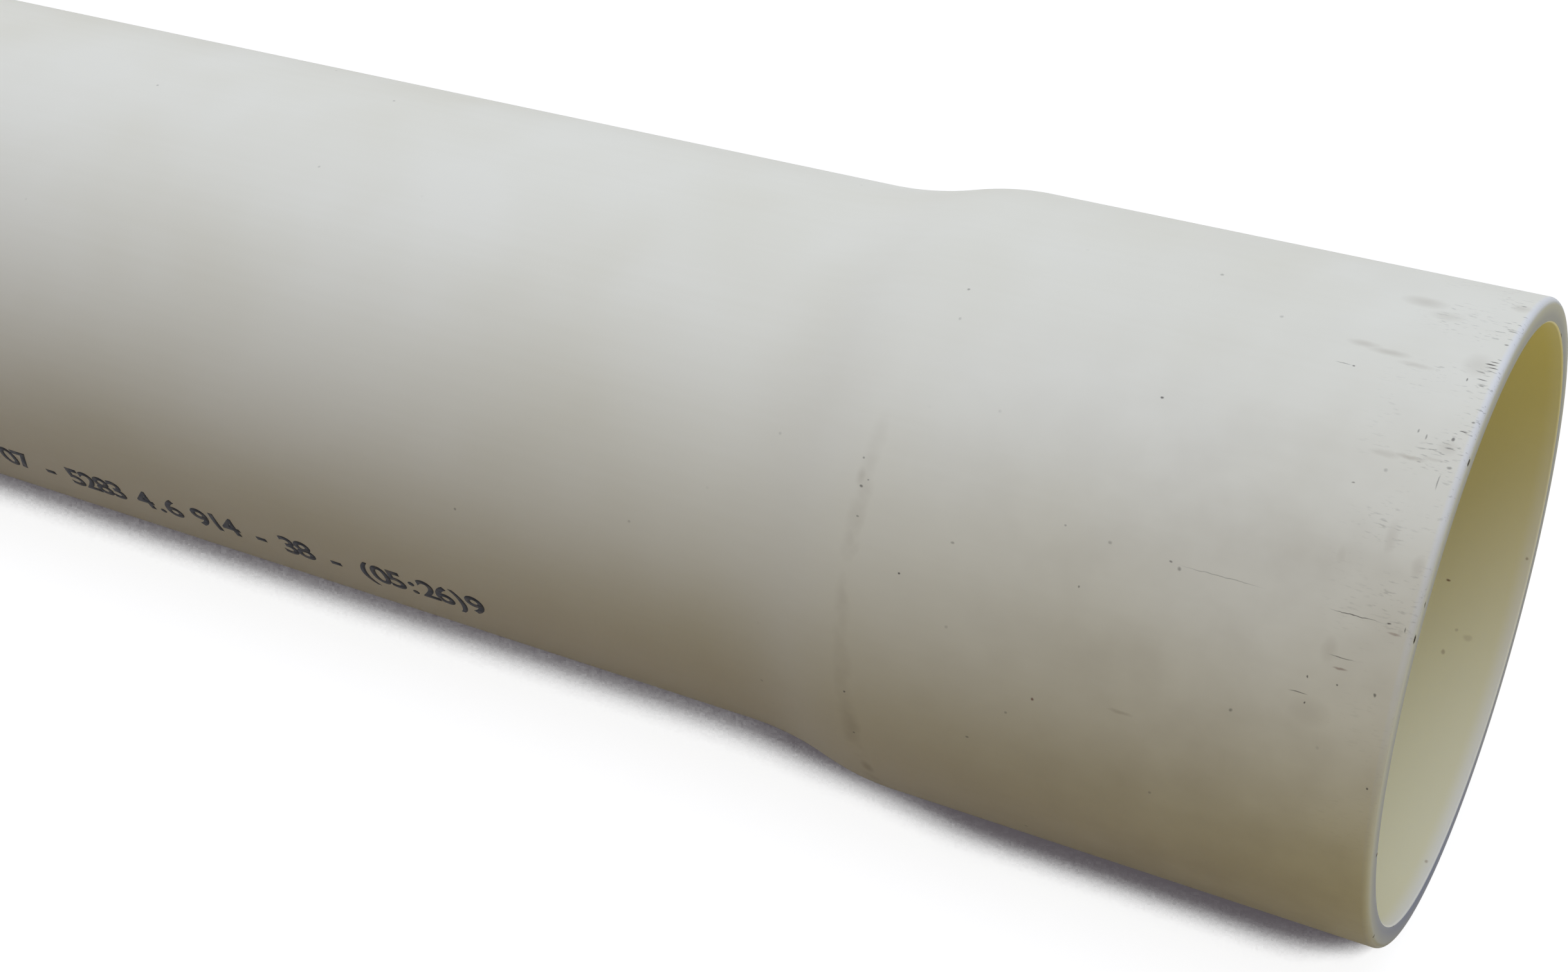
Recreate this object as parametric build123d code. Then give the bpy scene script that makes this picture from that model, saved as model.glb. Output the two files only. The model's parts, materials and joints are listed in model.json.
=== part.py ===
from build123d import *
import math
import os

# A PVC-U pressure pipe: one extruded piece, with a socket belled into one end for a glued joint.
# It lies along X on a level floor at Z = 0. The socket's mouth is at the +X end and the plain spigot at the -X end.
# The origin is on the floor, below the middle of its length. Lengths are in millimetres and angles in degrees.

# Barrel: the extruded pipe, sold by a laying length that leaves out the socket's depth
barrel_diameter = 110.0
barrel_wall = 4.2
laying_length = 1000.0

# Socket: takes the spigot of the next pipe with room for a film of cement all round
cement_gap = 0.15
socket_wall = 4.4
socket_depth = 95.0

# Shoulder: the S-bend from barrel to socket, hollow over its heel and then round over its crown
shoulder_length = 33.0
heel_share = 0.6

# Rim of the mouth: a rounded outer edge and a barely broken inner one
rim_outer_round = 1.2
rim_inner_round = 0.4

# Spigot: a lead-in chamfer, turned through a share of the wall
chamfer_angle = 15.0
chamfer_wall_share = 0.5

# Radii that follow from the sizes above
barrel_radius = barrel_diameter / 2
waterway_radius = barrel_radius - barrel_wall
socket_bore_radius = barrel_radius + cement_gap
socket_radius = socket_bore_radius + socket_wall

# Places along the axis
overall_length = laying_length + socket_depth
mouth_x = overall_length / 2
spigot_x = -overall_length / 2
socket_root_x = mouth_x - socket_depth
heel_x = socket_root_x - shoulder_length


def s_bend(start, end, heel):
    """The two arcs of the shoulder: both ends run along X, and the arcs meet at the heel's share of the way."""
    along_axis = (1, 0)
    turn = start + (end - start) * heel
    hollow = TangentArc(start, turn, tangent=along_axis)
    crown = TangentArc(turn, end, tangent=hollow % 1)
    return [hollow, crown]


def inner_heel_share():
    """On the inside the hollow arc is longer, by the wall's own thickness, so that the wall stays even."""
    steepest = 2 * math.atan((socket_radius - barrel_radius) / shoulder_length)
    mean_wall = (barrel_wall + socket_wall) / 2
    return heel_share + mean_wall * math.sin(steepest) / shoulder_length


def half_section():
    """The wall's section above the axis: outer bend, rim, inner bend, then back along the barrel to the spigot."""
    outer_heel = Vector(heel_x, barrel_radius)
    outer_root = Vector(socket_root_x, socket_radius)
    inner_heel = Vector(heel_x, waterway_radius)
    inner_root = Vector(socket_root_x, socket_bore_radius)
    chamfer_depth = barrel_wall * chamfer_wall_share
    chamfer_length = chamfer_depth / math.tan(math.radians(chamfer_angle))

    rim = FilletPolyline(
        outer_root,
        (mouth_x, socket_radius),
        (mouth_x, socket_bore_radius),
        inner_root,
        radius=(rim_outer_round, rim_inner_round),
    )
    barrel = Polyline(
        inner_heel,
        (spigot_x, waterway_radius),
        (spigot_x, barrel_radius - chamfer_depth),
        (spigot_x + chamfer_length, barrel_radius),
        outer_heel,
    )
    outer_bend = s_bend(outer_heel, outer_root, heel_share)
    inner_bend = s_bend(inner_heel, inner_root, inner_heel_share())
    return make_face(Curve() + [*outer_bend, rim, *inner_bend, barrel])


def pipe():
    """The section turned about the axis, and laid so that the socket touches the floor."""
    return Pos(0, 0, socket_radius) * revolve(half_section(), axis=Axis.X)


os.makedirs("parts", exist_ok=True)
export_step(pipe(), "parts/pipe.step")
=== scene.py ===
"""A cream PVC-U pressure pipe with a belled socket, modelled, marked and lit around its CAD frame."""

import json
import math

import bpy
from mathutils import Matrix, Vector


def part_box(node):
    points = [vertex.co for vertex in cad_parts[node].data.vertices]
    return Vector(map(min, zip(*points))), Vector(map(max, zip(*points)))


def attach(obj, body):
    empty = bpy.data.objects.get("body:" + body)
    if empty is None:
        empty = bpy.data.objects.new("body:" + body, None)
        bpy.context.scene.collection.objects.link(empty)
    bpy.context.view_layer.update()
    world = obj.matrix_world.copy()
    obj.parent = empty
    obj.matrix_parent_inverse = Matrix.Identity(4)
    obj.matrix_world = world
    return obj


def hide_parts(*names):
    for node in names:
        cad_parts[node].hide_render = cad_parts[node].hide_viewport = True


bl_info = {
    "name": "PVC pressure pipe",
    "version": (1, 0, 0),
    "blender": (4, 5, 0),
    "location": "View3D > Sidebar > Pipe",
    "description": "Turns the pipe, prints its ink line and sets the studio",
    "category": "Object",
}

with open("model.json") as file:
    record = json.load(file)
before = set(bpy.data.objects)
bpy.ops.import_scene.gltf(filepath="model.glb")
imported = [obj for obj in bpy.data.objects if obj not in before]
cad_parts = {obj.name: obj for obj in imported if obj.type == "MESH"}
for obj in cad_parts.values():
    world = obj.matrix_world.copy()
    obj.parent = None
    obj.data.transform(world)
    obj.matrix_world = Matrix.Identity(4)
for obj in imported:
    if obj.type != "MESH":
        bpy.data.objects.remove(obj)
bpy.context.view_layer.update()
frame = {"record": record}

MM = 0.001
MOUNTS = {mount["name"]: mount for mount in frame["record"]["mounts"]}
LOW_CORNER, HIGH_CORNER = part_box("pipe")
SPIGOT_X = LOW_CORNER.x
MOUTH_X = HIGH_CORNER.x
# The socket lies on the floor, so the axis is as high as the socket's outside radius
AXIS_HEIGHT = MOUNTS["socket"]["pos_m"][2]
SOCKET_BORE = MOUNTS["socket"]["dims"]
SPIGOT_PIN = MOUNTS["spigot"]["dims"]
WATERWAY = MOUNTS["waterway"]["dims"]


# Dark marks on the socket's outside: millimetres behind the mouth, degrees above the pipe's front,
# half their length along the pipe and half their width round it in millimetres, and how dark they are
NICKS = (
    (2.4, 75.2, 0.6, 0.14, 0.7),
    (2.1, 76.0, 1.1, 0.16, 0.9),
    (2.6, 76.8, 1.2, 0.20, 1.0),
    (2.2, 77.5, 0.9, 0.15, 0.9),
    (1.6, 78.3, 0.5, 0.14, 0.6),
    (2.9, 72.9, 1.1, 0.15, 0.8),
    (2.6, 71.6, 0.6, 0.25, 0.5),
    (5.2, 72.3, 0.20, 0.5, 0.7),
    (2.7, 97.9, 0.7, 0.30, 0.6),
    (1.4, 93.0, 0.6, 0.15, 0.6),
    (1.4, 89.5, 0.5, 0.15, 0.6),
    (1.8, 82.6, 0.5, 0.25, 0.6),
    (2.5, 62.0, 0.8, 0.15, 0.8),
    (1.6, 64.1, 0.4, 0.25, 0.6),
    (3.6, 60.2, 0.35, 0.5, 0.7),
    (9.2, 60.3, 0.20, 0.5, 0.5),
    (7.7, 59.6, 0.20, 0.6, 0.5),
    (2.7, 55.3, 0.5, 0.35, 0.5),
    (3.6, 52.6, 0.14, 1.7, 0.5),
    (24.6, 69.9, 1.8, 0.10, 0.5),
    (22.9, 69.8, 0.30, 0.22, 0.7),
    (16.1, 49.3, 0.35, 0.20, 0.6),
    (32.0, 30.0, 8.5, 0.10, 0.4),
    (40.5, 30.2, 0.4, 0.25, 0.6),
    (9.8, 29.6, 5.0, 0.11, 0.75),
    (4.5, 29.7, 0.5, 0.18, 0.8),
    (1.9, 29.5, 0.15, 0.5, 0.7),
    (10.3, 22.9, 2.6, 0.12, 0.6),
    (15.8, 15.8, 1.9, 0.12, 0.7),
    (14.8, 18.6, 0.20, 0.30, 0.8),
    (10.1, 18.6, 0.20, 0.25, 0.7),
    (4.1, 18.6, 0.30, 0.45, 0.7),
    (14.5, 14.4, 0.20, 0.30, 0.8),
    (2.4, 3.3, 0.25, 0.35, 0.8),
    (50.4, 55.6, 0.35, 0.25, 0.8),
    (86.4, 16.4, 0.35, 0.28, 0.9),
    (95.8, -9.7, 0.35, 0.35, 0.8),
    (71.9, -11.4, 0.4, 0.35, 0.5),
    (97.4, 33.5, 0.30, 0.25, 0.5),
    (96.5, 28.9, 0.45, 0.35, 0.7),
    (95.4, 30.2, 0.25, 0.20, 0.5),
    (95.9, 23.9, 0.40, 0.25, 0.5),
    (95.2, -20.3, 0.35, 0.35, 0.6),
    (77.8, 23.9, 0.5, 0.30, 0.4),
    (59.3, 31.4, 0.30, 0.25, 0.4),
    (54.6, 22.5, 0.30, 0.25, 0.6),
)
# Rust-red specks and strokes, in the same terms
RUST_MARKS = (
    (59.8, 1.1, 0.4, 0.5, 0.8),
    (10.2, 21.2, 1.5, 0.25, 0.5),
    (3.4, 28.4, 1.4, 0.30, 0.4),
)
# Soft brown and grey smears, in the same terms
SMEARS = (
    (17.5, 90.8, 6.0, 3.4, 0.28),
    (12.8, 87.4, 5.0, 2.8, 0.20),
    (23.0, 75.2, 4.5, 1.4, 0.28),
    (18.5, 74.5, 5.5, 1.3, 0.30),
    (13.5, 72.9, 5.0, 1.1, 0.24),
    (13.0, 55.2, 5.0, 1.3, 0.26),
    (9.0, 55.5, 4.5, 0.8, 0.40),
    (5.5, 56.1, 4.0, 0.7, 0.26),
    (4.0, 58.6, 3.2, 3.0, 0.26),
    (4.5, 76.0, 4.0, 5.0, 0.20),
    (2.6, 29.0, 1.4, 1.8, 0.36),
    (11.5, 22.6, 5.0, 1.0, 0.26),
    (10.5, 20.2, 5.5, 3.0, 0.20),
    (44.3, 3.6, 4.5, 0.8, 0.40),
    (14.0, 13.0, 9.0, 7.0, 0.29),
    (14.4, 37.8, 2.8, 4.8, 0.32),
    (7.8, 42.0, 2.4, 7.0, 0.29),
    (2.6, 38.8, 2.6, 4.8, 0.34),
    (12.4, 23.6, 3.6, 5.5, 0.32),
    (2.8, 96.6, 2.8, 3.2, 0.26),
    (80.0, -6.0, 9.0, 8.0, 0.10),
    (62.0, -15.0, 8.0, 6.0, 0.12),
    (95.3, -33.0, 1.8, 4.5, 0.38),
    (95.5, -17.0, 1.6, 5.0, 0.20),
    (96.0, 6.0, 2.0, 9.0, 0.12),
    (96.5, 20.0, 2.0, 4.0, 0.16),
    (96.8, 30.5, 1.6, 3.0, 0.26),
)
# Stains on the bore, in the same terms; the last is a darker mark on the bore's lower edge at the mouth
BORE_STAINS = (
    (15.1, -155.2, 0.6, 0.35, 0.8),
    (11.1, -145.6, 0.5, 0.45, 0.25),
    (8.6, -144.6, 1.2, 0.9, 0.18),
    (12.5, -140.4, 0.6, 0.7, 0.35),
    (1.3, -163.8, 0.4, 0.4, 0.5),
    (1.7, -91.5, 0.5, 0.6, 0.4),
)
# Specks on the rim: millimetres out from the axis, degrees above the front, half their depth and
# half their width in millimetres, and how dark they are
RIM_SPECKS = (
    (55.5, 93.0, 0.4, 0.6, 0.9),
    (55.5, 131.5, 0.5, 2.0, 0.8),
    (58.4, 33.9, 0.45, 0.7, 1.0),
    (59.0, 28.4, 0.5, 0.9, 1.0),
    (58.9, 57.4, 0.45, 0.9, 0.9),
    (56.0, -13.2, 0.7, 0.6, 0.9),
    (58.9, -39.1, 0.6, 0.5, 0.8),
    (55.6, -58.0, 0.4, 0.5, 0.7),
)


# Strips of the wall: which plastic each has, and its first and last row on the unrolled map, as shares of
# the map's height. The socket has the finest marks, so it gets the most rows
STRIPS = {
    "barrel": (0, 0.0, 0.22),
    "socket": (1, 0.23, 0.60),
    "rim": (2, 0.61, 0.65),
    "socket_bore": (3, 0.66, 0.90),
    "waterway": (3, 0.91, 0.98),
    "spigot_face": (0, 0.985, 0.995),
}
# Column of that map on which the pipe's front lies
FRONT_COLUMN = 0.5
# How squarely a face looks outward: above the first it is skin, above the second an end, and else bore
SKIN_OUTWARD = 0.5
END_OUTWARD = -0.3

# Roughness and specular level of each finish, and the plastic's index of refraction
SKIN_ROUGHNESS = 0.48
DUSTY_ROUGHNESS = 0.75
BORE_ROUGHNESS = 0.5
SAWN_ROUGHNESS = 0.7
INK_ROUGHNESS = 0.6
SKIN_GLOSS = 0.2
BORE_GLOSS = 0.15
SAWN_GLOSS = 0.05
INK_GLOSS = 0.2
PVC_IOR = 1.53

# Share of a mark that is as dark as its middle
SCRATCH_CORE = 0.3
RIM_SPECK_CORE = 0.4
SMEAR_CORE = 0.0
# Share of the cells without a stray speck, on the barrel and on the handled socket
BARREL_BARE = 0.95
SOCKET_BARE = 0.8
# Radius of a stray speck's faint edge and of its core, as shares of its cell
STRAY_SPECK_EDGE = 0.03
STRAY_SPECK_CORE = 0.01
# How much of a layer's colour shows: the haze (partly dust, partly painted shade on the socket's front)
# between its patches, and each layer where it is full
HAZE_THIN = 0.15
HAZE_FULL = 0.29
RING_FULL = 0.26
RUBS_FULL = 0.65
STRAY_SPECKS_FULL = 0.5
BORE_CLOUD_FULL = 0.06
SPARSE_INK_FULL = 0.3
# Heights up the pipe's side, as shares of its radius, where a layer starts to fade and where it is faintest
# The haze's fade is painted shade: it is full on the socket's front and underside and thins towards the top
HAZE_AND_SHADE_FADES = (0.6, 0.95)
RING_FADES = (0.5, 0.8)
RUBS_FADE = (0.9, 0.35)
# What the fading haze, partly painted shade, and the strokes keep of their share
HAZE_AND_SHADE_KEPT = 0.25
RUBS_KEPT = 0.12
# A mark's edge waves over this many times the distance that it strays
WAVE_PER_WOBBLE = 3
# Share of a reach behind the mouth that is as dirty as the mouth itself
FULL_REACH_SHARE = 0.1
# Share of the eased edge that is fully white: scraped plastic, and a painted highlight on the edge's round
EASED_CORE = 0.2
# How much the drawn lines count beside the clouds in the skin
DRAWN_SHARE = 0.1
# Height of a figure as a share of its font's size
FIGURE_SHARE = 0.73


def linear(hex_colour):
    """An sRGB hex colour as linear red, green, blue and alpha."""
    shares = [int(hex_colour[i:i + 2], 16) / 255 for i in (0, 2, 4)]
    return [s / 12.92 if s <= 0.04045 else ((s + 0.055) / 1.055) ** 2.4 for s in shares] + [1.0]


class PipeSizes(bpy.types.PropertyGroup):
    """Sizes of the pipe's wall. What the frame knows is taken from it."""

    socket_radius: bpy.props.FloatProperty(
        name="Socket radius", description="Outside of the belled end",
        default=AXIS_HEIGHT, unit="LENGTH")
    socket_bore_radius: bpy.props.FloatProperty(
        name="Socket bore radius", description="Inside of the belled end",
        default=SOCKET_BORE["r_mm"] * MM, unit="LENGTH")
    barrel_radius: bpy.props.FloatProperty(
        name="Barrel radius", description="Outside of the plain run",
        default=SPIGOT_PIN["r_mm"] * MM, unit="LENGTH")
    waterway_radius: bpy.props.FloatProperty(
        name="Waterway radius", description="Inside of the plain run",
        default=WATERWAY["r_mm"] * MM, unit="LENGTH")
    waterway_length: bpy.props.FloatProperty(
        name="Waterway length", description="From the spigot's end to the shoulder",
        default=WATERWAY["length_mm"] * MM, unit="LENGTH")
    chamfer_length: bpy.props.FloatProperty(
        name="Chamfer length", description="Lead-in on the outside of the spigot's end",
        default=(WATERWAY["length_mm"] - SPIGOT_PIN["length_mm"]) * MM, unit="LENGTH")
    chamfer_depth: bpy.props.FloatProperty(
        name="Chamfer depth", description="How much of the wall the lead-in takes away",
        default=2.1 * MM, unit="LENGTH")
    socket_depth: bpy.props.FloatProperty(
        name="Socket depth", description="From the mouth to the end of the straight bore",
        default=95.0 * MM, unit="LENGTH")
    outer_heel_share: bpy.props.FloatProperty(
        name="Outer heel share", description="Share of the shoulder that is hollow, outside",
        default=0.6, subtype="FACTOR")
    inner_heel_share: bpy.props.FloatProperty(
        name="Inner heel share", description="Share of the shoulder that is hollow, inside",
        default=0.635, subtype="FACTOR")
    rim_outer_round: bpy.props.FloatProperty(
        name="Rim outer round", description="Radius of the mouth's outer edge",
        default=1.2 * MM, unit="LENGTH")
    rim_inner_round: bpy.props.FloatProperty(
        name="Rim inner round", description="Radius of the mouth's inner edge",
        default=0.4 * MM, unit="LENGTH")
    sides: bpy.props.IntProperty(
        name="Sides", description="Faces round the pipe", default=256)
    barrel_steps: bpy.props.IntProperty(
        name="Barrel steps", description="Faces along the barrel", default=24)
    shoulder_steps: bpy.props.IntProperty(
        name="Shoulder steps", description="Faces along each arc of the shoulder", default=12)
    socket_steps: bpy.props.IntProperty(
        name="Socket steps", description="Faces along the socket", default=6)
    outer_round_steps: bpy.props.IntProperty(
        name="Outer round steps", description="Faces across the mouth's outer edge", default=10)
    inner_round_steps: bpy.props.IntProperty(
        name="Inner round steps", description="Faces across the mouth's inner edge", default=8)
    sharp_angle: bpy.props.FloatProperty(
        name="Sharp angle", description="Turn between two faces from which their edge is sharp",
        default=math.radians(12), subtype="ANGLE")


class PipeColours(bpy.types.PropertyGroup):
    """Colours of the plastic, the dirt and the ink, linear."""

    outside: bpy.props.FloatVectorProperty(
        name="Outside", description="Cream of the extruded outside",
        default=linear("e9e6da"), size=4, subtype="COLOR")
    cloud: bpy.props.FloatVectorProperty(
        name="Cloud", description="Duller cream of the clouds and lines in the outside",
        default=linear("e2decf"), size=4, subtype="COLOR")
    # Painted shade: the bore's yellower cream stands in for the dim, yellowed light that reaches the inside
    bore: bpy.props.FloatVectorProperty(
        name="Bore", description="Yellower cream of the inside",
        default=linear("f7f2d6"), size=4, subtype="COLOR")
    # Painted shade: the sawn end is plastic as pale as the skin, and this greyer, bluer colour stands in
    # for the shade on its face and the cool light it gets
    rim: bpy.props.FloatVectorProperty(
        name="Rim", description="Greyer plastic of the sawn end",
        default=linear("bec3de"), size=4, subtype="COLOR")
    # Partly scraped plastic, partly a painted highlight on the outer edge's round
    scraped_and_highlight: bpy.props.FloatVectorProperty(
        name="Scraped", description="Whiter plastic where the outer edge was eased",
        default=linear("e4e6f0"), size=4, subtype="COLOR")
    # Painted light: the paler edge of the bore stands in for the daylight that reaches just inside the
    # mouth
    lip_painted_light: bpy.props.FloatVectorProperty(
        name="Lip", description="Paler plastic of the bore's edge, which daylight reaches",
        default=linear("faf8f4"), size=4, subtype="COLOR")
    grime: bpy.props.FloatVectorProperty(
        name="Grime", description="Dark rubbed-in dirt",
        default=linear("3a3330"), size=4, subtype="COLOR")
    # Also colours the haze by the mouth, which is partly painted shade
    dust_and_shade: bpy.props.FloatVectorProperty(
        name="Dust", description="Brown smears and the ring on the shoulder",
        default=linear("8d7f6c"), size=4, subtype="COLOR")
    rust: bpy.props.FloatVectorProperty(
        name="Rust", description="Red-brown specks",
        default=linear("6e4030"), size=4, subtype="COLOR")
    ink: bpy.props.FloatVectorProperty(
        name="Ink", description="Charcoal of the printed line",
        default=linear("262528"), size=4, subtype="COLOR")


class PipeWear(bpy.types.PropertyGroup):
    """Sizes of the patterns in the plastic and of the dirt on it."""

    cloud_size: bpy.props.FloatProperty(
        name="Cloud size", description="Width of the faint clouds in the skin",
        default=45.0 * MM, unit="LENGTH")
    die_line_length: bpy.props.FloatProperty(
        name="Die line length", description="Length of the faint lines drawn along the pipe",
        default=400.0 * MM, unit="LENGTH")
    die_line_width: bpy.props.FloatProperty(
        name="Die line width", description="Spacing of the faint lines round the pipe",
        default=1.6 * MM, unit="LENGTH")
    rub_length: bpy.props.FloatProperty(
        name="Rub length", description="Length of the short rubbed strokes by the mouth",
        default=1.7 * MM, unit="LENGTH")
    rub_width: bpy.props.FloatProperty(
        name="Rub width", description="Width of the short rubbed strokes by the mouth",
        default=0.42 * MM, unit="LENGTH")
    rub_patch: bpy.props.FloatProperty(
        name="Rub patch", description="Size of the patches in which strokes gather",
        default=9.0 * MM, unit="LENGTH")
    rub_reach: bpy.props.FloatProperty(
        name="Rub reach", description="How far behind the mouth strokes are found",
        default=20.0 * MM, unit="LENGTH")
    # The haze by the mouth is partly dust and partly painted shade on the socket's front
    haze_size: bpy.props.FloatProperty(
        name="Haze size", description="Size of the soft dusty patches by the mouth",
        default=11.0 * MM, unit="LENGTH")
    haze_and_shade_reach: bpy.props.FloatProperty(
        name="Haze reach", description="How far behind the mouth dust is found",
        default=128.0 * MM, unit="LENGTH")
    speck_spacing: bpy.props.FloatProperty(
        name="Speck spacing", description="Size of the cells that may hold one speck each",
        default=13.0 * MM, unit="LENGTH")
    ring_behind_mouth: bpy.props.FloatProperty(
        name="Ring", description="Distance of the dirt ring on the shoulder behind the mouth",
        default=97.6 * MM, unit="LENGTH")
    ring_half_width: bpy.props.FloatProperty(
        name="Ring half width", description="Half the width of the dirt ring",
        default=3.2 * MM, unit="LENGTH")
    ring_break: bpy.props.FloatProperty(
        name="Ring break", description="Size of the gaps in the dirt ring",
        default=9.0 * MM, unit="LENGTH")
    # The whiter band and face are partly scraped plastic, partly a painted highlight on the outer round
    eased_edge: bpy.props.FloatProperty(
        name="Eased edge", description="Width of the whiter band where the outer edge was eased",
        default=1.4 * MM, unit="LENGTH")
    eased_face: bpy.props.FloatProperty(
        name="Eased face", description="How far in from the outer edge the sawn end is whiter",
        default=3.2 * MM, unit="LENGTH")
    # Reach of the painted light on the bore's edge
    lip_painted_light_reach: bpy.props.FloatProperty(
        name="Lip reach", description="How far into the mouth the bore is paler",
        default=3.5 * MM, unit="LENGTH")
    ring_wobble: bpy.props.FloatProperty(
        name="Ring wobble", description="How far the dirt ring strays",
        default=3.0 * MM, unit="LENGTH")
    wobble: bpy.props.FloatProperty(
        name="Wobble", description="How far a mark's edge strays",
        default=0.5 * MM, unit="LENGTH")


class InkLine(bpy.types.PropertyGroup):
    """The line of figures that a jet printed on the barrel."""

    figures: bpy.props.StringProperty(
        name="Figures", description="Plain numbers, one to each step of the jet",
        default="110 - 4.2 - 10 - 26 1408 - 351 - 7 - 07 - 5283 4.6 914 - 38 - (05:26)9")
    step: bpy.props.FloatProperty(
        name="Step", description="From one figure to the next",
        default=3.95 * MM, unit="LENGTH")
    height: bpy.props.FloatProperty(
        name="Height", description="Height of a figure, round the pipe",
        default=6.8 * MM, unit="LENGTH")
    start_behind_mouth: bpy.props.FloatProperty(
        name="Start", description="Distance of the line's start behind the mouth",
        default=456.15 * MM, unit="LENGTH")
    angle: bpy.props.FloatProperty(
        name="Angle", description="Middle of the figures, above the pipe's front",
        default=math.radians(-28.0), subtype="ANGLE")
    film: bpy.props.FloatProperty(
        name="Film", description="Thickness of the dried ink",
        default=0.03 * MM, unit="LENGTH")
    spread: bpy.props.FloatProperty(
        name="Spread", description="How far the ink ran out on each side of a stroke",
        default=0.21 * MM, unit="LENGTH")
    sparse_size: bpy.props.FloatProperty(
        name="Sparse size", description="Size of the patches where the drops are sparse",
        default=1.5 * MM, unit="LENGTH")
    bend_step: bpy.props.FloatProperty(
        name="Bend step", description="Spacing of the cuts that let the figures bend round the pipe",
        default=0.8 * MM, unit="LENGTH")
    bend_cuts: bpy.props.IntProperty(
        name="Bend cuts", description="Such cuts on each side of the middle one", default=5)
    hover: bpy.props.FloatProperty(
        name="Hover", description="Gap to the barrel before the figures are wrapped onto it",
        default=1.0 * MM, unit="LENGTH")
    seat: bpy.props.FloatProperty(
        name="Seat", description="Gap that keeps the wrapped film from cutting into the barrel",
        default=0.01 * MM, unit="LENGTH")


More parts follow.
